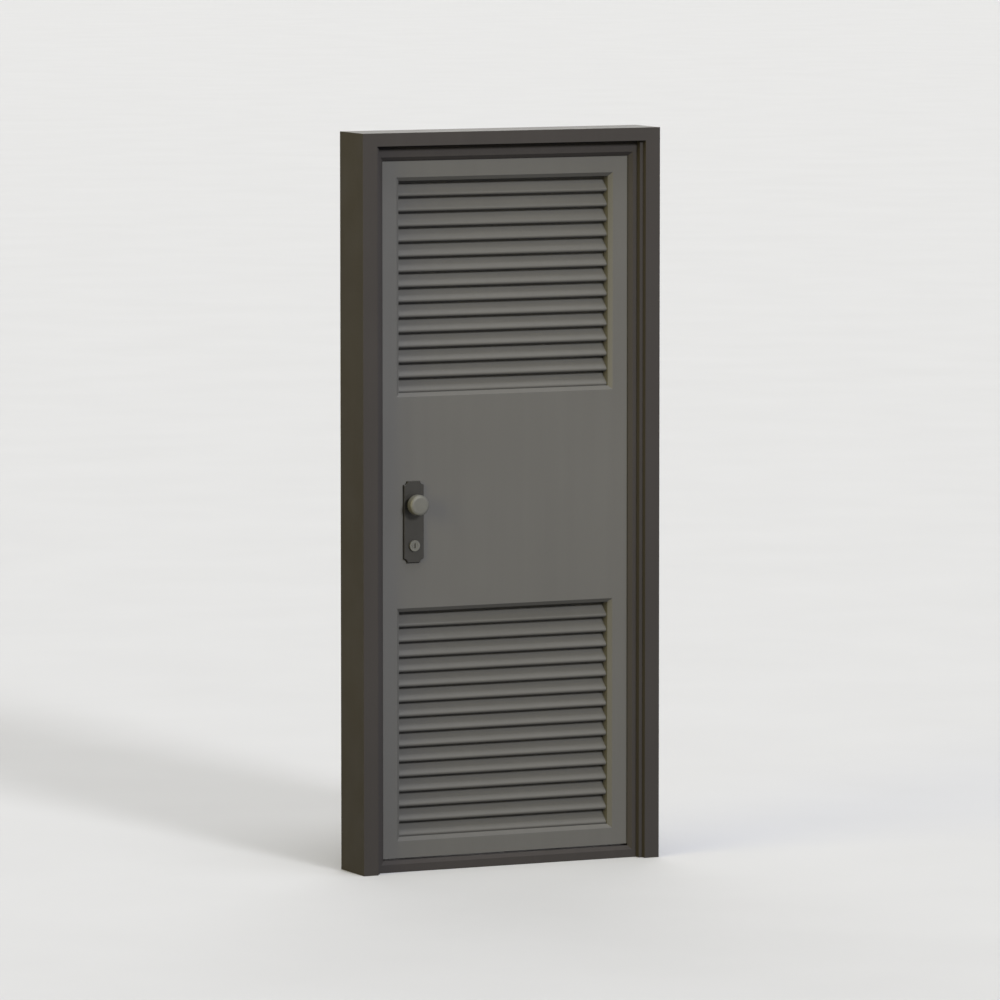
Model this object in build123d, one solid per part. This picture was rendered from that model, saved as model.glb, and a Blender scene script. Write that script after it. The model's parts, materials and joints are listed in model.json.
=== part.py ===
from build123d import *
import os
from math import cos, radians, sin, tan

# A louvred steel door leaf in a deep stepped steel frame, seen from the side that it closes towards.
# Sizes in millimetres. X runs along the width with the hinges at +X, Y runs through the frame with the
# front at -Y, and Z is up. The origin is on the floor, midway between the jambs and through the frame.

# Frame, across from its outer faces and in from its front and back faces
FRAME_WIDTH = 951.0
FRAME_HEIGHT = 2150.0
FRAME_DEPTH = 162.0
JAMB_FACE = 46.0
HEAD_FACE = 38.0
OUTER_STEP_DEPTH = 16.0
OUTER_STEP_WIDTH = 11.5
INNER_STEP_DEPTH = 18.5
JAMB_FLAT = 13.5
HEAD_FLAT = 22.0
STOP_BEVEL = 10.5
STOP_COVER = 12.0
SILL_FACE = 23.0

# Leaf
LEAF_THICKNESS = 50.0
LEAF_GAP = 5.5
LOCK_EDGE_RELIEF = 2.6
TOP_RAIL_HEIGHT = 72.0
BOTTOM_RAIL_HEIGHT = 60.0
LOUVRE_MARGIN = 47.0
LOUVRE_BEVEL = 11.0

# Louvre blades, each a bent sheet with a round nose at the front and an upright lip at the back
UPPER_BLADE_COUNT = 14
LOWER_BLADE_COUNT = 15
BLADE_PITCH = 43.8
BLADE_SHEET = 1.5
BLADE_FRONT_SETBACK = 17.0
BLADE_BACK_SETBACK = 4.0
BLADE_SLOPE = 45.0
BLADE_NOSE_RADIUS = 6.5
BLADE_HEM = 7.0
BLADE_LIP = 8.0
BLADE_FOOT_GAP = 1.0

# Lock plates, one on each face of the leaf
LOCK_INSET = 97.5
LOCK_HEIGHT = 1020.0
PLATE_WIDTH = 63.0
PLATE_HEIGHT = 237.0
PLATE_THICKNESS = 9.0
PLATE_CORNER_SCOOP = 11.0
PLATE_EDGE_BEVEL = 1.5

# Knobs and the spindle between them
KNOB_BELOW_PLATE_TOP = 67.5
KNOB_DIAMETER = 61.0
KNOB_FACE_DIAMETER = 46.0
KNOB_PROJECTION = 46.0
KNOB_RIM_THICKNESS = 29.0
KNOB_FACE_ROUND = 9.5
KNOB_BACK_BEVEL = 5.0
KNOB_NECK_DIAMETER = 28.0
KNOB_FOOT_DIAMETER = 40.0
KNOB_GAP = 0.5
SPINDLE_SIDE = 9.0
SPINDLE_BORE_CLEARANCE = 1.0
SPINDLE_GRIP = 20.0

# Key cylinder, a plug that passes through the leaf with a collar on each lock plate
KEY_ABOVE_PLATE_BOTTOM = 49.5
KEY_COLLAR_DIAMETER = 32.0
KEY_COLLAR_HEIGHT = 7.0
KEY_PLUG_DIAMETER = 17.0
KEY_PLUG_CLEARANCE = 0.4
KEY_SLOT_HEIGHT = 13.5
KEY_SLOT_WIDTH = 3.2
KEY_SLOT_DEPTH = 14.0

# Forend and latch in the leaf's lock edge, and the strike in the jamb
FOREND_WIDTH = 24.0
FOREND_HEIGHT = 235.0
FOREND_THICKNESS = 3.5
LATCH_WIDTH = 12.0
LATCH_HEIGHT = 22.0
LATCH_LENGTH = 30.0
STRIKE_WIDTH = 30.0
STRIKE_HEIGHT = 150.0
STRIKE_THICKNESS = 2.5
STRIKE_POCKET = 16.0
STRIKE_MARGIN = 2.5

# Hinges, on the back of the leaf and the wall of the reveal beside it
HINGE_COUNT = 3
HINGE_END_DISTANCE = 200.0
HINGE_HEIGHT = 112.0
HINGE_OFFSET = 9.0
HINGE_BARREL_RADIUS = 7.0
HINGE_PIN_RADIUS = 4.0
HINGE_PIN_REACH = 45.0
HINGE_BORE_REACH = 46.0
HINGE_PIN_CLEARANCE = 0.3
HINGE_KNUCKLE_GAP = 1.0
HINGE_FLAP = 3.0
HINGE_LEAF_REACH = 40.0
HINGE_FRAME_REACH = 17.0

# Flats that make up each bend in a blade and the rounding of a knob's face
BEND_STEPS = 3
KNOB_ROUND_STEPS = 2

# Places worked out from the sizes above
HALF_WIDTH = FRAME_WIDTH / 2
HALF_DEPTH = FRAME_DEPTH / 2
JAMB_STOP = JAMB_FACE + OUTER_STEP_WIDTH + JAMB_FLAT + STOP_BEVEL
HEAD_STOP = HEAD_FACE + OUTER_STEP_WIDTH + HEAD_FLAT + STOP_BEVEL
REBATE_SETBACK = STOP_COVER + LEAF_GAP
STEP_Y = -HALF_DEPTH + OUTER_STEP_DEPTH
FLAT_Y = STEP_Y + INNER_STEP_DEPTH
STOP_Y = FLAT_Y + STOP_BEVEL
SILL_TOP = SILL_FACE + STOP_BEVEL
LEAF_FRONT = STOP_Y + LEAF_GAP
LEAF_BACK = LEAF_FRONT + LEAF_THICKNESS
LEAF_MIDDLE = (LEAF_FRONT + LEAF_BACK) / 2
REBATE_X = HALF_WIDTH - JAMB_STOP + REBATE_SETBACK
LEAF_EDGE_X = REBATE_X - LEAF_GAP
LEAF_BOTTOM = SILL_TOP + LEAF_GAP
LEAF_TOP = FRAME_HEIGHT - HEAD_STOP + STOP_COVER
LOUVRE_EDGE_X = HALF_WIDTH - JAMB_STOP - LOUVRE_MARGIN
CLEAR_EDGE_X = LOUVRE_EDGE_X - LOUVRE_BEVEL
LOCK_X = -HALF_WIDTH + JAMB_STOP + LOCK_INSET
KNOB_Z = LOCK_HEIGHT + PLATE_HEIGHT / 2 - KNOB_BELOW_PLATE_TOP
KEY_Z = LOCK_HEIGHT - PLATE_HEIGHT / 2 + KEY_ABOVE_PLATE_BOTTOM
HINGE_X = REBATE_X - HINGE_OFFSET
HINGE_Y = LEAF_BACK + HINGE_OFFSET
UPPER_CLEAR_TOP = LEAF_TOP - TOP_RAIL_HEIGHT
UPPER_CLEAR_BOTTOM = UPPER_CLEAR_TOP - BLADE_FOOT_GAP - UPPER_BLADE_COUNT * BLADE_PITCH
LOWER_CLEAR_BOTTOM = LEAF_BOTTOM + BOTTOM_RAIL_HEIGHT
LOWER_CLEAR_TOP = LOWER_CLEAR_BOTTOM + BLADE_FOOT_GAP + LOWER_BLADE_COUNT * BLADE_PITCH


def box_between(low, high):
    """A box from its lowest corner to its highest."""
    size = [b - a for a, b in zip(low, high)]
    centre = [(a + b) / 2 for a, b in zip(low, high)]
    return Pos(*centre) * Box(*size)


def rod_along_y(radius, start, end, x, z):
    """A round rod through the leaf's thickness."""
    return Plane(origin=(x, start, z), z_dir=(0, 1, 0)) * extrude(Circle(radius), amount=end - start)


def to_back(shape):
    """The same piece on the other face of the leaf."""
    return mirror(shape, about=Plane.XZ.offset(-LEAF_MIDDLE))


def front_section(face, flat):
    """The front half of a frame member, to its stop, as points across from its outer face and through."""
    step = face + OUTER_STEP_WIDTH
    return [
        (0, -HALF_DEPTH),
        (face, -HALF_DEPTH),
        (face, STEP_Y),
        (step, STEP_Y),
        (step, FLAT_Y),
        (step + flat, FLAT_Y),
        (step + flat + STOP_BEVEL, STOP_Y),
        (0, STOP_Y),
    ]


def back_section(face, flat):
    """The back half of a frame member, from the leaf's rebate to its back face, in the same way."""
    step = face + OUTER_STEP_WIDTH
    rebate = step + flat + STOP_BEVEL - REBATE_SETBACK
    return [
        (0, STOP_Y),
        (rebate, STOP_Y),
        (rebate, -FLAT_Y),
        (step, -FLAT_Y),
        (step, -STEP_Y),
        (face, -STEP_Y),
        (face, HALF_DEPTH),
        (0, HALF_DEPTH),
    ]


def make_jamb(section):
    """One half of the lock side jamb, which runs to the top of the frame."""
    outline = [(across - HALF_WIDTH, through) for across, through in section(JAMB_FACE, JAMB_FLAT)]
    return extrude(make_face(Polyline(*outline, close=True)), amount=FRAME_HEIGHT)


def make_head(section, jambs):
    """One half of the head, coped between the jambs so that their steps meet in the corners."""
    outline = [(through, FRAME_HEIGHT - across) for across, through in section(HEAD_FACE, HEAD_FLAT)]
    face = Plane.YZ.offset(-HALF_WIDTH) * make_face(Polyline(*outline, close=True))
    return extrude(face, amount=FRAME_WIDTH) - jambs


def make_sill(jambs):
    """The sill, bevelled along both edges and coped between the jambs."""
    outline = [
        (FLAT_Y, 0),
        (-FLAT_Y, 0),
        (-FLAT_Y, SILL_FACE),
        (-STOP_Y, SILL_TOP),
        (STOP_Y, SILL_TOP),
        (FLAT_Y, SILL_FACE),
    ]
    reach = HALF_WIDTH - JAMB_FACE
    section = Plane.YZ.offset(-reach) * make_face(Polyline(*outline, close=True))
    return extrude(section, amount=2 * reach) - jambs


def make_frame(strike_cut):
    """The jambs and head, each as a front half and a back half that meet behind the stop, and the sill."""
    nodes = {}
    all_jambs = []
    for half, section in (("front", front_section), ("back", back_section)):
        lock_jamb = make_jamb(section)
        jambs = [lock_jamb, mirror(lock_jamb, about=Plane.YZ)]
        nodes[f"lock_jamb_{half}"] = lock_jamb - strike_cut
        nodes[f"hinge_jamb_{half}"] = jambs[1]
        nodes[f"frame_head_{half}"] = make_head(section, jambs)
        all_jambs += jambs
    nodes["sill"] = make_sill(all_jambs)
    return nodes


def strike_region(depth, width, height):
    """A block let into the wall of the rebate, opposite the latch."""
    return box_between(
        (-REBATE_X - depth, LEAF_MIDDLE - width / 2, KNOB_Z - height / 2),
        (-REBATE_X, LEAF_MIDDLE + width / 2, KNOB_Z + height / 2),
    )


def make_strike():
    """The strike plate, flush in the rebate, with a hole for the latch."""
    hole_width = LATCH_WIDTH + 2 * STRIKE_MARGIN
    hole_height = LATCH_HEIGHT + 2 * STRIKE_MARGIN
    latch_hole = strike_region(STRIKE_POCKET, hole_width, hole_height)
    plate = strike_region(STRIKE_THICKNESS, STRIKE_WIDTH, STRIKE_HEIGHT)
    return plate - latch_hole, plate + latch_hole


def louvre_void(clear_bottom, clear_top):
    """One louvre's opening: a clear hole, bevelled on both faces of the leaf."""
    middle = (clear_bottom + clear_top) / 2
    height = clear_top - clear_bottom
    void = box_between(
        (-CLEAR_EDGE_X, LEAF_FRONT, clear_bottom),
        (CLEAR_EDGE_X, LEAF_BACK, clear_top),
    )
    clear = Rectangle(2 * CLEAR_EDGE_X, height)
    wide = Rectangle(2 * LOUVRE_EDGE_X, height + 2 * LOUVRE_BEVEL)
    for face_y, inward in ((LEAF_FRONT, 1), (LEAF_BACK, -1)):
        face_plane = Plane(origin=(0, face_y, middle), x_dir=(1, 0, 0), z_dir=(0, inward, 0))
        void += loft([face_plane * wide, face_plane.offset(LOUVRE_BEVEL) * clear])
    return void


def make_slab(voids):
    """The leaf as one slab with both louvres cut and its lock edge relieved to swing clear of the jamb."""
    outline = [
        (-LEAF_EDGE_X + LOCK_EDGE_RELIEF, LEAF_FRONT),
        (LEAF_EDGE_X, LEAF_FRONT),
        (LEAF_EDGE_X, LEAF_BACK),
        (-LEAF_EDGE_X, LEAF_BACK),
    ]
    face = Pos(0, 0, LEAF_BOTTOM) * make_face(Polyline(*outline, close=True))
    slab = extrude(face, amount=LEAF_TOP - LEAF_BOTTOM)
    for void in voids:
        slab -= void
    return slab


def cut_members(slab):
    """The slab divided into stiles and rails along the clear edges of the louvres."""
    spans = {
        "lock_stile": (-HALF_WIDTH, -CLEAR_EDGE_X, 0, FRAME_HEIGHT),
        "hinge_stile": (CLEAR_EDGE_X, HALF_WIDTH, 0, FRAME_HEIGHT),
        "bottom_rail": (-CLEAR_EDGE_X, CLEAR_EDGE_X, 0, LOWER_CLEAR_BOTTOM),
        "lock_rail": (-CLEAR_EDGE_X, CLEAR_EDGE_X, LOWER_CLEAR_TOP, UPPER_CLEAR_BOTTOM),
        "top_rail": (-CLEAR_EDGE_X, CLEAR_EDGE_X, UPPER_CLEAR_TOP, FRAME_HEIGHT),
    }
    return {
        name: slab & box_between((left, LEAF_FRONT, low), (right, LEAF_BACK, high))
        for name, (left, right, low, high) in spans.items()
    }


def bend_points(centre, radius, start, end):
    """Points round a bend, from one direction to another in degrees."""
    turns = [radians(start + (end - start) * step / BEND_STEPS) for step in range(BEND_STEPS + 1)]
    return [(centre[0] + radius * cos(turn), centre[1] + radius * sin(turn)) for turn in turns]


def make_blade():
    """One blade along the whole louvre, its nose on Z = 0, before its ends are cut to the opening."""
    back = LEAF_BACK - BLADE_BACK_SETBACK
    lean = radians(BLADE_SLOPE)
    outer = BLADE_NOSE_RADIUS
    inner = BLADE_NOSE_RADIUS - BLADE_SHEET
    centre = (LEAF_FRONT + BLADE_FRONT_SETBACK + outer, outer)
    hem_end = centre[0] + BLADE_HEM

    def slope_at(radius, y):
        rise = (y - centre[0]) * tan(lean)
        return (y, centre[1] + radius / cos(lean) + rise)

    crest = slope_at(outer, back - BLADE_SHEET)
    lip_top = crest[1] + BLADE_LIP
    outline = [
        *bend_points(centre, outer, 270, 90 + BLADE_SLOPE),
        crest,
        (back - BLADE_SHEET, lip_top),
        (back, lip_top),
        slope_at(inner, back),
        *bend_points(centre, inner, 90 + BLADE_SLOPE, 270),
        (hem_end, centre[1] - inner),
        (hem_end, centre[1] - outer),
    ]
    section = Plane.YZ.offset(-LOUVRE_EDGE_X) * make_face(Polyline(*outline, close=True))
    return extrude(section, amount=2 * LOUVRE_EDGE_X)


def make_blades(name, count, clear_bottom, void):
    """Every blade of one louvre, cut to fit its opening and numbered from the bottom."""
    blade = make_blade()
    first = clear_bottom + BLADE_FOOT_GAP
    return {
        f"{name}_blade_{number + 1:02d}": Pos(0, 0, first + number * BLADE_PITCH) * blade & void
        for number in range(count)
    }


def make_front_plate():
    """The front lock plate: scooped corners, a bevelled edge and holes for the spindle and the key plug."""
    outline = Rectangle(PLATE_WIDTH, PLATE_HEIGHT)
    for side in (-1, 1):
        for end in (-1, 1):
            outline -= Pos(side * PLATE_WIDTH / 2, end * PLATE_HEIGHT / 2) * Circle(PLATE_CORNER_SCOOP)
    leaf_plane = Plane(origin=(LOCK_X, LEAF_FRONT, LOCK_HEIGHT), x_dir=(1, 0, 0), z_dir=(0, -1, 0))
    plate = leaf_plane * extrude(outline, amount=PLATE_THICKNESS)
    plate = chamfer(plate.faces().sort_by(Axis.Y)[0].edges(), PLATE_EDGE_BEVEL)
    bores = spindle_bore() + plug_bore()
    return plate - bores


def spindle_bore():
    """The round hole for the spindle, through the leaf and both lock plates."""
    radius = SPINDLE_SIDE * 2**0.5 / 2 + SPINDLE_BORE_CLEARANCE
    return rod_along_y(radius, *lock_reach(PLATE_THICKNESS), LOCK_X, KNOB_Z)


def plug_bore():
    """The round hole for the key plug, through the leaf, both lock plates and both collars."""
    radius = KEY_PLUG_DIAMETER / 2 + KEY_PLUG_CLEARANCE
    return rod_along_y(radius, *lock_reach(PLATE_THICKNESS + KEY_COLLAR_HEIGHT), LOCK_X, KEY_Z)


def lock_reach(beyond):
    """From the same distance in front of the leaf to behind it."""
    return LEAF_FRONT - beyond, LEAF_BACK + beyond


def make_front_collar():
    """The ring round the key plug on the front lock plate."""
    seat = LEAF_FRONT - PLATE_THICKNESS
    ring = rod_along_y(KEY_COLLAR_DIAMETER / 2, seat - KEY_COLLAR_HEIGHT, seat, LOCK_X, KEY_Z)
    return ring - plug_bore()


def make_key_plug():
    """The plug, turned by a key from either face of the leaf."""
    start, end = lock_reach(PLATE_THICKNESS + KEY_COLLAR_HEIGHT)
    plug = rod_along_y(KEY_PLUG_DIAMETER / 2, start, end, LOCK_X, KEY_Z)
    for low, high in ((start, start + KEY_SLOT_DEPTH), (end - KEY_SLOT_DEPTH, end)):
        plug -= box_between(
            (LOCK_X - KEY_SLOT_WIDTH / 2, low, KEY_Z - KEY_SLOT_HEIGHT / 2),
            (LOCK_X + KEY_SLOT_WIDTH / 2, high, KEY_Z + KEY_SLOT_HEIGHT / 2),
        )
    return plug


def rounded_over(start, end):
    """Points of a quarter ellipse that leaves start along the knob's axis and reaches end across it."""
    turns = [radians(90) * step / KNOB_ROUND_STEPS for step in range(KNOB_ROUND_STEPS + 1)]
    return [
        (start[0] + (end[0] - start[0]) * (1 - cos(turn)), start[1] + (end[1] - start[1]) * sin(turn))
        for turn in turns
    ]


def make_front_knob():
    """The front knob, turned: a tapering neck under a thick rim, rounded over to a flat face."""
    rim = KNOB_DIAMETER / 2
    neck = KNOB_NECK_DIAMETER / 2
    foot = KNOB_FOOT_DIAMETER / 2
    face = KNOB_FACE_DIAMETER / 2
    rim_back = KNOB_PROJECTION - KNOB_RIM_THICKNESS
    outline = [
        (0, KNOB_GAP),
        (foot, KNOB_GAP),
        (neck, rim_back),
        (rim - KNOB_BACK_BEVEL, rim_back),
        (rim, rim_back + KNOB_BACK_BEVEL),
        *rounded_over((rim, KNOB_PROJECTION - KNOB_FACE_ROUND), (face, KNOB_PROJECTION)),
        (0, KNOB_PROJECTION),
    ]
    seat = (LOCK_X, LEAF_FRONT - PLATE_THICKNESS, KNOB_Z)
    side_plane = Plane(origin=seat, x_dir=(1, 0, 0), z_dir=(0, 0, -1))
    section = side_plane * make_face(Polyline(*outline, close=True))
    return revolve(section, axis=Axis(seat, (0, 1, 0))) - spindle_square()


def spindle_square():
    """The square spindle, gripped in both knobs."""
    start, end = lock_reach(PLATE_THICKNESS + SPINDLE_GRIP)
    half = SPINDLE_SIDE / 2
    return box_between((LOCK_X - half, start, KNOB_Z - half), (LOCK_X + half, end, KNOB_Z + half))


def make_latch_region():
    """The latch's passage through the forend into the stile."""
    return box_between(
        (-LEAF_EDGE_X, LEAF_MIDDLE - LATCH_WIDTH / 2, KNOB_Z - LATCH_HEIGHT / 2),
        (-LEAF_EDGE_X + LATCH_LENGTH, LEAF_MIDDLE + LATCH_WIDTH / 2, KNOB_Z + LATCH_HEIGHT / 2),
    )


def hinge_feet():
    """The lowest point of each hinge, spread evenly between the end hinges."""
    lowest = LEAF_BOTTOM + HINGE_END_DISTANCE
    highest = LEAF_TOP - HINGE_END_DISTANCE - HINGE_HEIGHT
    spacing = (highest - lowest) / (HINGE_COUNT - 1)
    return [lowest + number * spacing for number in range(HINGE_COUNT)]


def make_hinge_halves():
    """The frame half of a hinge with its pin, and the leaf half that lifts off it."""
    knuckle = (HINGE_HEIGHT - HINGE_KNUCKLE_GAP) / 2
    upper = knuckle + HINGE_KNUCKLE_GAP
    centre = Pos(HINGE_X, HINGE_Y, 0)
    barrel = centre * extrude(Circle(HINGE_BARREL_RADIUS), amount=knuckle)
    pin = centre * extrude(Circle(HINGE_PIN_RADIUS), amount=knuckle + HINGE_KNUCKLE_GAP + HINGE_PIN_REACH)
    frame_flap = box_between(
        (REBATE_X - HINGE_FLAP, HINGE_Y, 0),
        (REBATE_X, HINGE_Y + HINGE_FRAME_REACH, knuckle),
    )
    frame_root = box_between((HINGE_X, HINGE_Y, 0), (REBATE_X, HINGE_Y + HINGE_FLAP, knuckle))
    frame_half = barrel + pin + frame_flap + frame_root
    leaf_flap = box_between(
        (HINGE_X - HINGE_LEAF_REACH, LEAF_BACK, upper),
        (HINGE_X, LEAF_BACK + HINGE_FLAP, HINGE_HEIGHT),
    )
    leaf_root = box_between((HINGE_X - HINGE_FLAP, LEAF_BACK, upper), (HINGE_X, HINGE_Y, HINGE_HEIGHT))
    bore = centre * extrude(Circle(HINGE_PIN_RADIUS + HINGE_PIN_CLEARANCE), amount=upper + HINGE_BORE_REACH)
    leaf_half = Pos(0, 0, upper) * barrel + leaf_flap + leaf_root - bore
    return frame_half, leaf_half


def main():
    os.makedirs("parts", exist_ok=True)
    strike_plate, strike_cut = make_strike()
    frame_half, leaf_half = make_hinge_halves()
    upper_void = louvre_void(UPPER_CLEAR_BOTTOM, UPPER_CLEAR_TOP)
    lower_void = louvre_void(LOWER_CLEAR_BOTTOM, LOWER_CLEAR_TOP)
    members = cut_members(make_slab([upper_void, lower_void]))
    forend_region = box_between(
        (-HALF_WIDTH, LEAF_MIDDLE - FOREND_WIDTH / 2, LOCK_HEIGHT - FOREND_HEIGHT / 2),
        (-LEAF_EDGE_X + FOREND_THICKNESS, LEAF_MIDDLE + FOREND_WIDTH / 2, LOCK_HEIGHT + FOREND_HEIGHT / 2),
    )
    latch_region = make_latch_region()
    lock_stile = members["lock_stile"]
    members["lock_stile"] = lock_stile - forend_region - latch_region
    members["lock_rail"] -= spindle_bore() + plug_bore()
    front_plate = make_front_plate()
    front_collar = make_front_collar()
    front_knob = make_front_knob()
    nodes = {
        **make_frame(strike_cut),
        "strike_plate": strike_plate,
        "frame_hinge_halves": Compound([Pos(0, 0, foot) * frame_half for foot in hinge_feet()]),
        **members,
        **make_blades("upper", UPPER_BLADE_COUNT, UPPER_CLEAR_BOTTOM, upper_void),
        **make_blades("lower", LOWER_BLADE_COUNT, LOWER_CLEAR_BOTTOM, lower_void),
        "forend": lock_stile & forend_region - latch_region,
        "latch_bolt": lock_stile & latch_region,
        "leaf_hinge_halves": Compound([Pos(0, 0, foot) * leaf_half for foot in hinge_feet()]),
        "front_lock_plate": front_plate,
        "back_lock_plate": to_back(front_plate),
        "front_key_collar": front_collar,
        "back_key_collar": to_back(front_collar),
        "key_plug": make_key_plug(),
        "front_knob": front_knob,
        "back_knob": to_back(front_knob),
        "knob_spindle": spindle_square(),
    }
    for name, shape in nodes.items():
        export_step(shape, f"parts/{name}.step")


main()
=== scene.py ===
import json
from math import cos, pi, radians, sin

import bmesh
import bpy
from mathutils import Matrix, Vector


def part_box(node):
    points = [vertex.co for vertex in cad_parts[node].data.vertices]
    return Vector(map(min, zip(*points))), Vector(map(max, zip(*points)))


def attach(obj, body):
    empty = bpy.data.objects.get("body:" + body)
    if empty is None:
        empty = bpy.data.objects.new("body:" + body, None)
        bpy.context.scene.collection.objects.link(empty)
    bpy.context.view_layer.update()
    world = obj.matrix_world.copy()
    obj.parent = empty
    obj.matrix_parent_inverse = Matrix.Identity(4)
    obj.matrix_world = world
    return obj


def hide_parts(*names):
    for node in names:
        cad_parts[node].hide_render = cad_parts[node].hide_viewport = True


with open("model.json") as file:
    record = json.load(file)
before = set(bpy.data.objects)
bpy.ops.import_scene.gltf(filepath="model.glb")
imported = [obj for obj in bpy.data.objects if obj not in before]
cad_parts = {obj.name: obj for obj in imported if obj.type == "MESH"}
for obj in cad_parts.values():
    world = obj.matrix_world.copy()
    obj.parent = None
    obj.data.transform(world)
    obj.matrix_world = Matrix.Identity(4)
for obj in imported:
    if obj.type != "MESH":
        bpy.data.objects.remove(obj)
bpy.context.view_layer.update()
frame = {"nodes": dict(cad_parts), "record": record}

MM = 0.001

# Camera, in metres and degrees
CAMERA_PLACE = (-9.75898, -20.80445, 3.24099)
CAMERA_AZIMUTH = 25.124
CAMERA_ELEVATION = 5.401
CLIP_START = 0.5
CLIP_END = 400.0

# Lens, in millimetres
LENS = 284.87
SENSOR_WIDTH = 36.0

# Light
WORLD_LIGHT = 0.20
WORLD_COLOUR = (0.97, 0.985, 1.0)
LAMPS = {
    "key": {"source": (0.10, -0.92, 0.38), "strength": 1.87, "angle": 11.0, "colour": (1.0, 0.99, 0.96)},
    "top": {"source": (0.0, -0.21, 0.98), "strength": 1.5, "angle": 30.0, "colour": (1.0, 0.99, 0.97)},
    "left": {"source": (-0.93, -0.28, 0.21), "strength": 1.75, "angle": 40.0, "colour": (1.0, 0.85, 0.32)},
    "back": {"source": (0.35, 0.86, 0.36), "strength": 1.2, "angle": 60.0, "colour": (1.0, 0.98, 0.95)},
}

# Background and floor
BACKGROUND_COLOUR = (0.80, 0.80, 0.79)
FLOOR_COLOUR = (0.62, 0.632, 0.675)
FLOOR_BOUNCE_COLOUR = (0.05, 0.05, 0.049)
FLOOR_ROUGHNESS = 0.85
FLOOR_CLOUD_SCALE = 1.5
FLOOR_CLOUDS = (0.985, 1.015)
FLOOR_RADIUS = 90.0
FLOOR_SEGMENTS = 96
FLOOR_GAP = 0.5 * MM

# Finishes, as linear colours
LEAF_COLOUR = (0.1415, 0.1405, 0.141)
FRAME_COLOUR = (0.063, 0.0585, 0.060)
# Pale grey of the dust and the painted top highlight on the frame's upward faces
DUST_AND_HIGHLIGHT_COLOUR = (0.24, 0.24, 0.24)
PLATE_COLOUR = (0.024, 0.0226, 0.0205)
KNOB_COLOUR = (0.126, 0.126, 0.118)
STEEL_COLOUR = (0.26, 0.255, 0.245)
# Painted shade for the cross recesses in screw heads
RECESS_SHADE_COLOUR = (0.012, 0.012, 0.012)

# Paint, with scales in features per metre, and depths and heights in metres
NOISE_SPAN = (0.3, 0.7)
CLOUD_SCALE = 2.2
RUN_SCALES = (26.0, 26.0, 1.3)
SPECK_SCALE = 420.0
SHEEN_SCALE = 9.0
SHEEN_CHANGE = 0.06
PEEL_SCALE = 260.0
PEEL_DEPTH = 0.00008
WAVE_SCALE = 6.0
WAVE_DEPTH = 0.0006
# Painted light falloff: heights in metres, and the factors that darken the paint towards the floor and
# lighten it towards the top
PAINTED_FALLOFF_HEIGHTS = (0.0, 2.1)
PAINTED_FALLOFF_FACTORS = (0.90, 1.09)

# Dust and a painted highlight on the frame's top, by the upward share of a face's direction and by height
# in metres
DUST_AND_HIGHLIGHT_SCALE = 9.0
DUST_AND_HIGHLIGHT_COVER = (0.45, 0.95)
DUST_AND_HIGHLIGHT_SLOPES = (0.6, 0.95)
DUST_AND_HIGHLIGHT_HEIGHTS = (2.0, 2.1)

# Metal, with its shades, its roughness below and above the mean, and its relief in metres
PLATE_GRAIN = (900.0, 900.0, 14.0)
STEEL_GRAIN = (500.0, 500.0, 30.0)
RING_SCALE = 2200.0
ACROSS_AXIS = (1.0, 0.0, 1.0)
BRUSHED_LOOK = {
    "cloud_scale": 30.0,
    "cloud_shades": (0.92, 1.08),
    "grain_shades": (0.93, 1.07),
    "roughness": (-0.06, 0.08),
    "depth": 0.00004,
}
TURNED_LOOK = {
    "cloud_scale": 45.0,
    "cloud_shades": (0.93, 1.07),
    "grain_shades": (0.95, 1.05),
    "roughness": (-0.05, 0.07),
    "depth": 0.00003,
}

# Louvre blades, bent from sheet
BLADE_SHEET = 1.5 * MM
BLADE_NOSE_RADIUS = 6.5 * MM
BLADE_BEND = 3.0 * MM
BLADE_HEM = 7.0 * MM
BLADE_END_TAPER = 7.0 * MM
BLADE_SLOPE = 45.0
BLADE_DROP = 2.0 * MM
NOSE_STEPS = 16
BEND_STEPS = 4

# The frame's head, whose face returns straight to the flat behind it
HEAD_FACE = 38.0 * MM
JAMB_FACE = 46.0 * MM
STEP_WIDTH = 11.5 * MM
STEP_DEPTH = 16.0 * MM
FLAT_DEPTH = 34.5 * MM

# Frame and leaf, welded flush from their members
WELD_GAP = 0.01 * MM
FLAT_ANGLE = 0.5
FRAME_MEMBERS = (
    "lock_jamb_front",
    "lock_jamb_back",
    "hinge_jamb_front",
    "hinge_jamb_back",
    "frame_head_front",
    "frame_head_back",
    "sill",
)
LEAF_MEMBERS = ("lock_stile", "hinge_stile", "bottom_rail", "lock_rail", "top_rail")

# Rounded and sharp edges, with angles in degrees
ARRIS = 0.6 * MM
FITTING_ARRIS = 0.4 * MM
ARRIS_SEGMENTS = 3
ARRIS_ANGLE = 30.0
SHEET_SHARP_ANGLE = 35.0
KNOB_SHARP_ANGLE = 28.0
KNOB_SEGMENTS = 96
ROUNDED_FITTINGS = ("front_lock_plate", "back_lock_plate", "front_key_collar", "back_key_collar")

# Hinges, with screws in millimetres across and up from the lower corner of a half
HINGES = 3
LEAF_HALF_HEIGHT = 55.5 * MM
FRAME_HALF_HEIGHT = 101.5 * MM
HINGE_SHEET = 3.0 * MM
LEAF_HALF_SCREWS = ((10.0, 12.0), (10.0, 43.5), (24.0, 27.5))
LEAF_SCREW_RADIUS = 3.6 * MM
FRAME_HALF_SCREWS = (12.0, 43.5)
FRAME_SCREW_INSET = 6.0 * MM
FRAME_SCREW_RADIUS = 3.2 * MM

# Screw heads, by shares of the radius and heights in millimetres
SCREW_PROFILE = ((0.0, -1.5), (0.7, -1.5), (1.0, -0.05), (1.0, 0.05), (0.93, 0.25), (0.0, 0.25))
SCREW_SEGMENTS = 28
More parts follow.
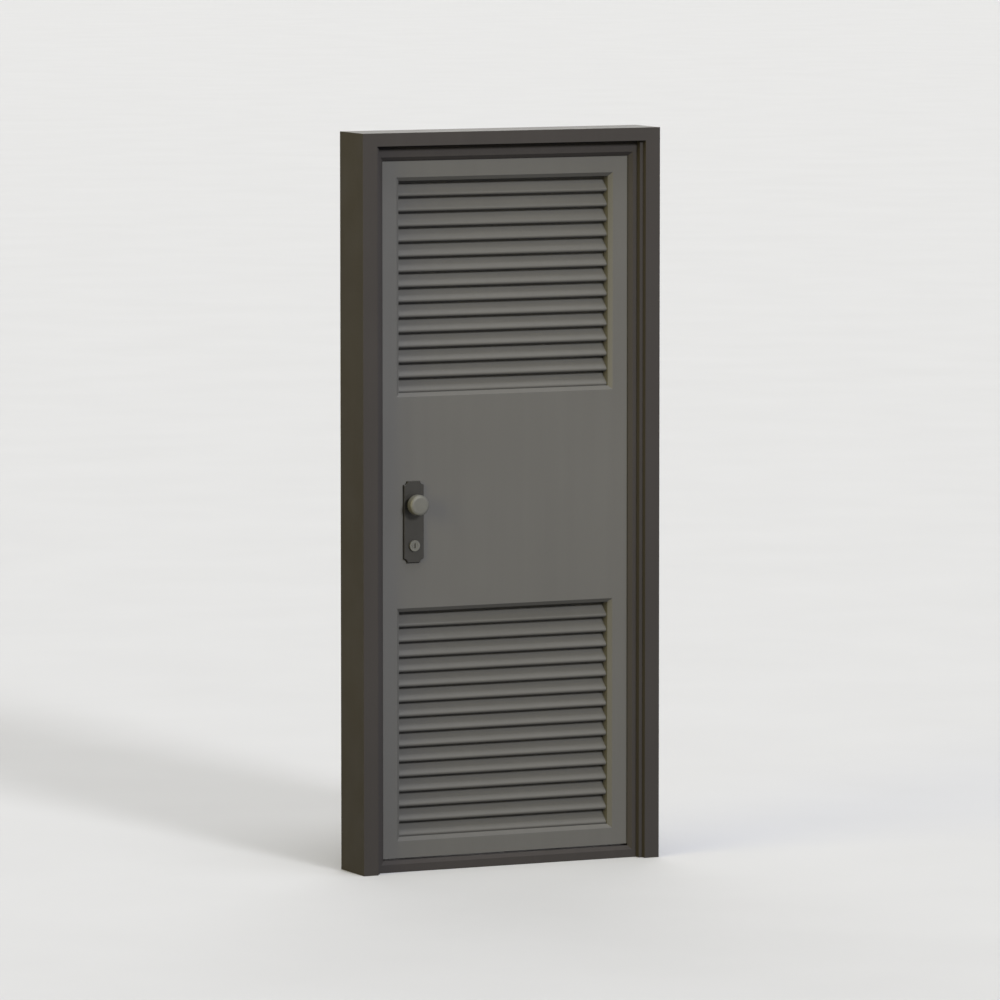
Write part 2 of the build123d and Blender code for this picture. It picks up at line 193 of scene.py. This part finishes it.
# Size of the dark cross that is painted as the shade of the recess, by shares of the radius, and its
# thickness
RECESS_LENGTH = 1.15
RECESS_WIDTH = 0.24
RECESS_THICKNESS = 0.12 * MM

# Ways that a face can look
FRONT = (0, -1, 0)
BACK = (0, 1, 0)
LOCK_SIDE = (-1, 0, 0)
HINGE_SIDE = (1, 0, 0)

# Screws in plates, by node, name, way that they look, inset from the ends, radius and body
PLATE_SCREWS = (
    ("forend", "forend_screw", LOCK_SIDE, 10.0 * MM, 3.6 * MM, "leaf"),
    ("strike_plate", "strike_screw", HINGE_SIDE, 14.0 * MM, 3.6 * MM, "frame"),
    ("back_lock_plate", "back_plate_screw", BACK, 16.0 * MM, 4.0 * MM, "leaf"),
)


def add_node(tree, kind, **settings):
    """A shader node, its sockets set by name."""
    node = tree.nodes.new(kind)
    for name, value in settings.items():
        if name in node.inputs:
            node.inputs[name].default_value = value
        else:
            setattr(node, name, value)
    return node


def start_material(name):
    """A material with its shader and the place on the object, in metres."""
    material = bpy.data.materials.new(name)
    material.use_nodes = True
    tree = material.node_tree
    shader = tree.nodes["Principled BSDF"]
    place = tree.nodes.new("ShaderNodeTexCoord").outputs["Object"]
    return material, tree, shader, place


def stretched(tree, place, scales):
    """The place scaled by its own amount along each axis."""
    mapping = add_node(tree, "ShaderNodeMapping")
    mapping.inputs["Scale"].default_value = scales
    tree.links.new(place, mapping.inputs["Vector"])
    return mapping.outputs["Vector"]


def noise(tree, place, scale=1.0, detail=2.0):
    """Noise of a scale in features per metre."""
    node = add_node(tree, "ShaderNodeTexNoise", Scale=scale, Detail=detail)
    tree.links.new(place, node.inputs["Vector"])
    return node.outputs["Fac"]


def mapped(tree, value, span, onto=(0.0, 1.0), curve="LINEAR"):
    """A value mapped from one span onto another, and held at its ends."""
    node = add_node(tree, "ShaderNodeMapRange", interpolation_type=curve)
    for name, end in zip(("From Min", "From Max", "To Min", "To Max"), (*span, *onto)):
        node.inputs[name].default_value = end
    tree.links.new(value, node.inputs["Value"])
    return node.outputs["Result"]


def spread(tree, value, low, high):
    """A noise value mapped from its usual span onto low to high."""
    return mapped(tree, value, NOISE_SPAN, (low, high))


def times(tree, a, b):
    """Two values multiplied."""
    node = add_node(tree, "ShaderNodeMath", operation="MULTIPLY")
    tree.links.new(a, node.inputs[0])
    tree.links.new(b, node.inputs[1])
    return node.outputs["Value"]


def shaded(tree, colour, factor):
    """A colour brightened and darkened by a factor that varies over the surface."""
    node = add_node(tree, "ShaderNodeVectorMath", operation="SCALE")
    node.inputs[0].default_value = colour
    tree.links.new(factor, node.inputs["Scale"])
    return node.outputs["Vector"]


def bump(tree, height, depth, shader, previous=None):
    """Relief from a height value, on top of any earlier relief."""
    node = add_node(tree, "ShaderNodeBump", Strength=1.0, Distance=depth)
    tree.links.new(height, node.inputs["Height"])
    if previous:
        tree.links.new(previous, node.inputs["Normal"])
    tree.links.new(node.outputs["Normal"], shader.inputs["Normal"])
    return node.outputs["Normal"]


def split_axes(tree, vector):
    """The three parts of a place or a direction."""
    node = tree.nodes.new("ShaderNodeSeparateXYZ")
    tree.links.new(vector, node.inputs["Vector"])
    return node.outputs


def dust_and_top_highlight(tree, place, base, shader):
    """Pale dust and a painted highlight over the paint of faces that look up above head height."""
    normal = tree.nodes.new("ShaderNodeTexCoord").outputs["Normal"]
    total = spread(tree, noise(tree, place, DUST_AND_HIGHLIGHT_SCALE, detail=6.0), *DUST_AND_HIGHLIGHT_COVER)
    for source, span in ((normal, DUST_AND_HIGHLIGHT_SLOPES), (place, DUST_AND_HIGHLIGHT_HEIGHTS)):
        share = mapped(tree, split_axes(tree, source)["Z"], span, curve="SMOOTHSTEP")
        total = times(tree, total, share)
    mix = add_node(tree, "ShaderNodeMix", data_type="RGBA")
    tree.links.new(total, mix.inputs["Factor"])
    tree.links.new(base, mix.inputs["A"])
    mix.inputs["B"].default_value = (*DUST_AND_HIGHLIGHT_COLOUR, 1.0)
    tree.links.new(mix.outputs["Result"], shader.inputs["Base Color"])


def paint(name, colour, roughness, mottle, gloss, dust_and_highlight=False):
    """Sprayed paint with orange peel, faint clouds and runs, with painted shade towards the floor and
    painted light towards the top, and, where asked, dust with a painted highlight on faces that look up.
    """
    material, tree, shader, place = start_material(name)
    clouds = spread(tree, noise(tree, place, CLOUD_SCALE, detail=4.0), 1 - mottle, 1 + mottle)
    streaks = noise(tree, stretched(tree, place, RUN_SCALES), detail=3.0)
    runs = spread(tree, streaks, 1 - mottle / 2, 1 + mottle / 2)
    specks = spread(tree, noise(tree, place, SPECK_SCALE), 1 - mottle / 2, 1 + mottle / 2)
    # Painted light falloff: darker towards the floor, lighter towards the top
    painted_falloff = mapped(tree, split_axes(tree, place)["Z"], PAINTED_FALLOFF_HEIGHTS, PAINTED_FALLOFF_FACTORS)
    factor = times(tree, times(tree, clouds, runs), times(tree, specks, painted_falloff))
    base = shaded(tree, colour, factor)
    if dust_and_highlight:
        dust_and_top_highlight(tree, place, base, shader)
    else:
        tree.links.new(base, shader.inputs["Base Color"])
    patches = noise(tree, place, SHEEN_SCALE, detail=5.0)
    sheen = spread(tree, patches, roughness - SHEEN_CHANGE, roughness + SHEEN_CHANGE)
    tree.links.new(sheen, shader.inputs["Roughness"])
    shader.inputs["Specular IOR Level"].default_value = gloss
    peel = bump(tree, noise(tree, place, PEEL_SCALE), PEEL_DEPTH, shader)
    bump(tree, noise(tree, place, WAVE_SCALE), WAVE_DEPTH, shader, peel)
    return material


def satin(tree, shader, place, grain, colour, roughness, look):
    """Satin metal with faint clouds, whose shade, roughness and relief follow its grain."""
    patches = noise(tree, place, look["cloud_scale"], detail=4.0)
    clouds = spread(tree, patches, *look["cloud_shades"])
    factor = times(tree, spread(tree, grain, *look["grain_shades"]), clouds)
    tree.links.new(shaded(tree, colour, factor), shader.inputs["Base Color"])
    below, above = look["roughness"]
    sheen = spread(tree, grain, roughness + below, roughness + above)
    tree.links.new(sheen, shader.inputs["Roughness"])
    bump(tree, grain, look["depth"], shader)


def brushed(name, colour, scales, roughness, metallic):
    """Satin metal, brushed along one axis."""
    material, tree, shader, place = start_material(name)
    grain = noise(tree, stretched(tree, place, scales), detail=3.0)
    satin(tree, shader, place, grain, colour, roughness, BRUSHED_LOOK)
    shader.inputs["Metallic"].default_value = metallic
    return material


def turned(name, colour, roughness, metallic):
    """Satin metal turned on a lathe, with fine rings about the object's own Y axis."""
    material, tree, shader, place = start_material(name)
    length = add_node(tree, "ShaderNodeVectorMath", operation="LENGTH")
    tree.links.new(stretched(tree, place, ACROSS_AXIS), length.inputs[0])
    joined = tree.nodes.new("ShaderNodeCombineXYZ")
    tree.links.new(length.outputs["Value"], joined.inputs["X"])
    tree.links.new(split_axes(tree, place)["Y"], joined.inputs["Y"])
    rings = noise(tree, joined.outputs["Vector"], RING_SCALE)
    satin(tree, shader, place, rings, colour, roughness, TURNED_LOOK)
    shader.inputs["Metallic"].default_value = metallic
    return material


SLOT_MATERIALS = {
    "leaf_paint": paint("leaf_paint", LEAF_COLOUR, roughness=0.50, mottle=0.035, gloss=0.14),
    "frame_paint": paint("frame_paint", FRAME_COLOUR, roughness=0.55, mottle=0.05, gloss=0.04, dust_and_highlight=True),
    "plate_metal": brushed("plate_metal", PLATE_COLOUR, PLATE_GRAIN, roughness=0.48, metallic=0.35),
    "knob_metal": turned("knob_metal", KNOB_COLOUR, roughness=0.48, metallic=0.15),
    "hardware_steel": brushed("hardware_steel", STEEL_COLOUR, STEEL_GRAIN, roughness=0.40, metallic=0.8),
}
# Paint for the painted shade of the screws' cross recesses
RECESS_PAINTED_SHADE = paint("recess_painted_shade", RECESS_SHADE_COLOUR, roughness=0.7, mottle=0.1, gloss=0.25)


def dress_nodes():
    """Gives every CAD node the finish of its material slot."""
    for part in frame["record"]["subparts"]:
        node = frame["nodes"][part["node"]]
        for holder in node.material_slots:
            holder.material = SLOT_MATERIALS[part["material_slot"]]


def new_object(name, data):
    """An object in the scene."""
    item = bpy.data.objects.new(name, data)
    bpy.context.scene.collection.objects.link(item)
    return item


def new_piece(name, mesh, slot):
    """An object in the scene with its material slot and the finish of that slot."""
    piece = new_object(name, mesh)
    mesh.materials.append(SLOT_MATERIALS[slot])
    return piece


def make_mesh(form, name):
    """A mesh from a form, which is then freed."""
    mesh = bpy.data.meshes.new(name)
    form.to_mesh(mesh)
    form.free()
    return mesh


def smooth_mesh(form, name, sharp):
    """A mesh from a form, smooth apart from edges sharper than an angle in degrees."""
    for face in form.faces:
        face.smooth = True
    for edge in form.edges:
        edge.smooth = not (edge.is_manifold and edge.calc_face_angle() > radians(sharp))
    return make_mesh(form, name)


def round_edges(piece, width):
    """Rounds an object's edges a little, so that they catch the light."""
    modifier = piece.modifiers.new("round_edges", "BEVEL")
    modifier.width = width
    modifier.segments = ARRIS_SEGMENTS
    modifier.limit_method = "ANGLE"
    modifier.angle_limit = radians(ARRIS_ANGLE)
    modifier.harden_normals = True


def lathe(profile, segments):
    """A closed form turned about the Y axis from points of radius and distance along -Y."""
    form = bmesh.new()
    rings = []
    for radius, along in profile:
        if radius == 0:
            rings.append([form.verts.new((0, -along, 0))] * segments)
        else:
            turns = [2 * pi * step / segments for step in range(segments)]
            places = [(radius * cos(turn), -along, radius * sin(turn)) for turn in turns]
            rings.append([form.verts.new(place) for place in places])
    for ring, following in zip(rings, rings[1:]):
        for step in range(segments):
            corners = [ring[step], ring[step - 1], following[step - 1], following[step]]
            form.faces.new(list(dict.fromkeys(corners)))
    bmesh.ops.recalc_face_normals(form, faces=form.faces)
    return form


def rounded_corner(start, corner, end, steps):
    """Points along a smooth curve from start to end that keeps inside a corner."""
    points = []
    for step in range(steps + 1):
        part = step / steps
        a = (1 - part) ** 2
        b = 2 * part * (1 - part)
        c = part**2
        points.append(tuple(a * s + b * k + c * e for s, k, e in zip(start, corner, end)))
    return points


# Knob profile from its seat, radius and height in millimetres
KNOB_PROFILE = [
    (0.0, 0.5),
    *rounded_corner((19.0, 0.5), (20.0, 0.5), (20.0, 1.5), 3),
    *rounded_corner((20.0, 4.0), (20.0, 6.0), (17.0, 7.5), 5),
    *rounded_corner((15.5, 8.6), (14.0, 10.0), (14.0, 12.5), 4),
    *rounded_corner((14.0, 14.5), (14.0, 17.0), (19.0, 17.0), 5),
    *rounded_corner((24.0, 17.0), (30.5, 17.0), (30.5, 24.0), 8),
    *rounded_corner((30.5, 35.5), (30.5, 44.6), (22.6, 45.8), 12),
    *rounded_corner((21.5, 45.9), (20.5, 46.0), (19.0, 46.0), 3),
    (0.0, 46.0),
]


def add_knob(node, outward):
    """A smooth turned knob in place of a CAD knob, facing outward along Y."""
    low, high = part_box(node)
    seat = high[1] if outward < 0 else low[1]
    gap = KNOB_PROFILE[0][1] * MM
    form = lathe([(radius * MM, along * MM) for radius, along in KNOB_PROFILE], KNOB_SEGMENTS)
    mesh = smooth_mesh(form, f"{node}_turned", KNOB_SHARP_ANGLE)
    piece = new_piece(f"{node}_turned", mesh, "knob_metal")
    turn = Matrix.Rotation(pi if outward > 0 else 0.0, 4, "Z")
    centre = ((low[0] + high[0]) / 2, seat - outward * gap, (low[2] + high[2]) / 2)
    piece.matrix_world = Matrix.Translation(centre) @ turn
    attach(piece, "knobs")
    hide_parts(node)


def arc(centre, radius, start, end, steps):
    """Points round a bend, from one direction to another in degrees."""
    turns = [radians(start + (end - start) * step / steps) for step in range(steps + 1)]
    return [(centre[0] + radius * cos(turn), centre[1] + radius * sin(turn)) for turn in turns]


def blade_side(centre, radius, hem_end, lip, lip_top):
    """One side of a blade's sheet in Y and Z: hem, round the nose, up the slope and the lip."""
    slope = radians(BLADE_SLOPE)
    rise = centre[1] + radius / cos(slope) - centre[0]
    crest = (lip, lip + rise)
    before = (lip - BLADE_BEND * cos(slope), crest[1] - BLADE_BEND * sin(slope))
    return [
        (hem_end, centre[1] - radius),
        *arc(centre, radius, start=270.0, end=90.0 + BLADE_SLOPE, steps=NOSE_STEPS),
        *rounded_corner(before, crest, (lip, crest[1] + BLADE_BEND), steps=BEND_STEPS),
        (lip, lip_top),
    ]


def add_blade(node):
    """A smoothly bent blade in place of a CAD blade, its ends following the bevel of the opening."""
    low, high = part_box(node)
    centre = (low[1] + BLADE_NOSE_RADIUS, low[2] + BLADE_NOSE_RADIUS - BLADE_DROP)
    hem_end = centre[0] + BLADE_HEM
    lip_top = high[2] - BLADE_DROP
    outer = blade_side(centre, BLADE_NOSE_RADIUS, hem_end, high[1] - BLADE_SHEET, lip_top)
    inner = blade_side(centre, BLADE_NOSE_RADIUS - BLADE_SHEET, hem_end, high[1], lip_top)
    form = bmesh.new()
    rows = []
    for side in (-1, 1):
        for points in (outer, inner):
            row = []
            for y, z in points:
                taper = min(BLADE_END_TAPER, high[1] - y)
                row.append(form.verts.new((side * (high[0] - taper), y, z)))
            rows.append(row)
    left_outer, left_inner, right_outer, right_inner = rows
    strips = (
        (left_outer, right_outer),
        (left_inner, right_inner),
        (left_outer, left_inner),
        (right_outer, right_inner),
    )
    last = len(outer) - 1
    for step in range(last):
        for one, other in strips:
            form.faces.new([one[step], one[step + 1], other[step + 1], other[step]])
    for step in (0, last):
        form.faces.new([left_outer[step], right_outer[step], right_inner[step], left_inner[step]])
    bmesh.ops.recalc_face_normals(form, faces=form.faces)
    mesh = smooth_mesh(form, f"{node}_sheet", SHEET_SHARP_ANGLE)
    piece = new_piece(f"{node}_sheet", mesh, "leaf_paint")
    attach(piece, "leaf")
    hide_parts(node)


def loose_copy(node):
    """A copy of a CAD node's form, as an object of its own."""
    source = frame["nodes"][node]
    mesh = source.data.copy()
    mesh.transform(source.matrix_world)
    mesh.materials.clear()
    return new_object(f"{node}_copy", mesh)


def loose_block(low, high):
    """A block between two corners, as an object of its own."""
    form = bmesh.new()
    bmesh.ops.create_cube(form, size=1.0)
    for vert in form.verts:
        vert.co = [(a + b) / 2 + part * (b - a) for a, b, part in zip(low, high, vert.co)]
    return new_object("block", make_mesh(form, "block"))


def combine(base, others, operation):
    """The mesh of an object with others joined to it or cut from it, which are then removed."""
    for other in others:
        modifier = base.modifiers.new(operation, "BOOLEAN")
        modifier.operation = operation
        modifier.solver = "EXACT"
        modifier.object = other
    view = bpy.context.evaluated_depsgraph_get()
    mesh = bpy.data.meshes.new_from_object(base.evaluated_get(view))
    for unused in (base, *others):
        bpy.data.objects.remove(unused)
    return mesh


def add_welded(name, nodes, body, slot, cut=None):
    """One form in place of members that are welded flush, its arrises rounded as bent sheet is."""
    copies = [loose_copy(node) for node in nodes]
    mesh = combine(copies[0], copies[1:], "UNION")
    if cut:
        mesh = combine(new_object("base", mesh), [cut], "DIFFERENCE")
    form = bmesh.new()
    form.from_mesh(mesh)
    bmesh.ops.remove_doubles(form, verts=form.verts, dist=WELD_GAP)
    bmesh.ops.dissolve_limit(form, angle_limit=radians(FLAT_ANGLE), verts=form.verts, edges=form.edges)
    piece = new_piece(name, make_mesh(form, name), slot)
    round_edges(piece, ARRIS)
    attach(piece, body)
    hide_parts(*nodes)


def head_step():
    """The block between the head's face and its flat, which the real head has no step in."""
    low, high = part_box("frame_head_front")
    top = high[2] - HEAD_FACE
    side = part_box("hinge_jamb_front")[1][0] - JAMB_FACE - STEP_WIDTH
    return loose_block(
        (-side, low[1] + STEP_DEPTH, top - STEP_WIDTH),
        (side, low[1] + FLAT_DEPTH, top),
    )


def add_screw(name, place, facing, radius, body):
    """A countersunk screw head just proud of its plate, with a dark cross painted on as the shade of its
    recess.
    """
    form = lathe([(radius * share, along * MM) for share, along in SCREW_PROFILE], SCREW_SEGMENTS)
    proud = SCREW_PROFILE[-1][1] * MM
    length = radius * RECESS_LENGTH
    width = radius * RECESS_WIDTH
    recess = []
    # A thin dark cross on the head, painted shade in place of a cut recess
    for across, up in ((length, width), (width, length)):
        bar = bmesh.ops.create_cube(form, size=1.0)
        for vert in bar["verts"]:
            vert.co = Vector((vert.co.x * across, vert.co.y * RECESS_THICKNESS - proud, vert.co.z * up))
            recess.append(vert)
    for face in form.faces:
        face.smooth = False
        if all(vert in recess for vert in face.verts):
            face.material_index = 1
    mesh = make_mesh(form, name)
    piece = new_piece(name, mesh, "hardware_steel")
    mesh.materials.append(RECESS_PAINTED_SHADE)
    turn = Vector(FRONT).rotation_difference(Vector(facing)).to_matrix().to_4x4()
    piece.matrix_world = Matrix.Translation(place) @ turn
    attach(piece, body)


def add_hinge_screws():
    """The screws that hold the halves of the hinges to the leaf and to the frame."""
    leaf_low, leaf_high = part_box("leaf_hinge_halves")
    frame_low, frame_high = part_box("frame_hinge_halves")
    leaf_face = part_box("hinge_stile")[1][1] + HINGE_SHEET
    frame_face = frame_high[0] - HINGE_SHEET
    leaf_spacing = (leaf_high[2] - leaf_low[2] - LEAF_HALF_HEIGHT) / (HINGES - 1)
    frame_spacing = (frame_high[2] - frame_low[2] - FRAME_HALF_HEIGHT) / (HINGES - 1)
    for hinge in range(HINGES):
        foot = leaf_low[2] + hinge * leaf_spacing
        for number, (across, up) in enumerate(LEAF_HALF_SCREWS, 1):
            name = f"leaf_hinge_{hinge + 1}_screw_{number}"
            place = (leaf_low[0] + across * MM, leaf_face, foot + up * MM)
            add_screw(name, place, BACK, LEAF_SCREW_RADIUS, "leaf")
        foot = frame_low[2] + hinge * frame_spacing
        for number, up in enumerate(FRAME_HALF_SCREWS, 1):
            name = f"frame_hinge_{hinge + 1}_screw_{number}"
            place = (frame_face, frame_high[1] - FRAME_SCREW_INSET, foot + up * MM)
            add_screw(name, place, LOCK_SIDE, FRAME_SCREW_RADIUS, "frame")


def add_plate_screws(node, name, facing, inset, radius, body):
    """Two screws in one face of a plate, inset from its foot and from its top."""
    low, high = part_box(node)
    middle = [(a + b) / 2 for a, b in zip(low, high)]
    ends = {-1: low, 0: middle, 1: high}
    x, y = (ends[facing[axis]][axis] for axis in range(2))
    for number, z in enumerate((low[2] + inset, high[2] - inset), 1):
        add_screw(f"{name}_{number}", (x, y, z), facing, radius, body)


def seen_directly(tree):
    """One for camera, mirror and glass rays, and nothing for the light that a surface gives off."""
    path = tree.nodes.new("ShaderNodeLightPath")
    total = path.outputs["Is Camera Ray"]
    for name in ("Is Glossy Ray", "Is Transmission Ray"):
        node = add_node(tree, "ShaderNodeMath", operation="MAXIMUM")
        tree.links.new(total, node.inputs[0])
        tree.links.new(path.outputs[name], node.inputs[1])
        total = node.outputs["Value"]
    return total


def lit_and_seen(tree, lighting, seen, output):
    """One shader for the light that a surface gives off, and another where it is seen."""
    mix = tree.nodes.new("ShaderNodeMixShader")
    tree.links.new(seen_directly(tree), mix.inputs["Fac"])
    tree.links.new(lighting, mix.inputs[1])
    tree.links.new(seen, mix.inputs[2])
    tree.links.new(mix.outputs["Shader"], tree.nodes[output].inputs["Surface"])


def make_floor():
    """A wide pale floor."""
    form = bmesh.new()
    bmesh.ops.create_circle(form, cap_ends=True, radius=FLOOR_RADIUS, segments=FLOOR_SEGMENTS)
    floor = new_object("floor", make_mesh(form, "floor"))
    floor.location.z = -FLOOR_GAP
    material, tree, shader, place = start_material("floor")
    factor = spread(tree, noise(tree, place, FLOOR_CLOUD_SCALE, detail=5.0), *FLOOR_CLOUDS)
    tree.links.new(shaded(tree, FLOOR_COLOUR, factor), shader.inputs["Base Color"])
    shader.inputs["Roughness"].default_value = FLOOR_ROUGHNESS
    bounce = add_node(tree, "ShaderNodeBsdfDiffuse")
    bounce.inputs["Color"].default_value = (*FLOOR_BOUNCE_COLOUR, 1.0)
    lit_and_seen(tree, bounce.outputs["BSDF"], shader.outputs["BSDF"], "Material Output")
    floor.data.materials.append(material)


def make_world():
    """A dim soft sky for light and a pale one for the camera and reflections."""
    world = bpy.data.worlds.new("studio")
    bpy.context.scene.world = world
    world.use_nodes = True
    tree = world.node_tree
    light = tree.nodes["Background"]
    light.inputs["Color"].default_value = (*WORLD_COLOUR, 1.0)
    light.inputs["Strength"].default_value = WORLD_LIGHT
    seen = add_node(tree, "ShaderNodeBackground", Strength=1.0)
    seen.inputs["Color"].default_value = (*BACKGROUND_COLOUR, 1.0)
    lit_and_seen(tree, light.outputs["Background"], seen.outputs["Background"], "World Output")


def make_lamp(name, source, strength, angle, colour):
    """A soft distant lamp that shines from a direction."""
    data = bpy.data.lights.new(name, "SUN")
    data.energy = strength
    data.angle = radians(angle)
    data.color = colour
    lamp = new_object(name, data)
    lamp.rotation_euler = Vector(source).to_track_quat("Z", "Y").to_euler()


def make_camera():
    """The camera, in front of the door, on its lock side and a little above it."""
    data = bpy.data.cameras.new("camera")
    data.lens = LENS
    data.sensor_width = SENSOR_WIDTH
    data.clip_start = CLIP_START
    data.clip_end = CLIP_END
    camera = new_object("camera", data)
    camera.location = CAMERA_PLACE
    camera.rotation_euler = (radians(90.0 - CAMERA_ELEVATION), 0.0, -radians(CAMERA_AZIMUTH))
    bpy.context.scene.camera = camera


dress_nodes()
add_knob("front_knob", -1)
add_knob("back_knob", 1)
for node_name in frame["nodes"]:
    if "blade" in node_name:
        add_blade(node_name)
add_welded("welded_frame", FRAME_MEMBERS, "frame", "frame_paint", head_step())
add_welded("welded_leaf", LEAF_MEMBERS, "leaf", "leaf_paint")
add_hinge_screws()
for plate_screws in PLATE_SCREWS:
    add_plate_screws(*plate_screws)
for node_name in ROUNDED_FITTINGS:
    round_edges(frame["nodes"][node_name], FITTING_ARRIS)
make_floor()
make_world()
for lamp_name, lamp_settings in LAMPS.items():
    make_lamp(lamp_name, **lamp_settings)
make_camera()
bpy.context.scene.view_settings.view_transform = "Standard"
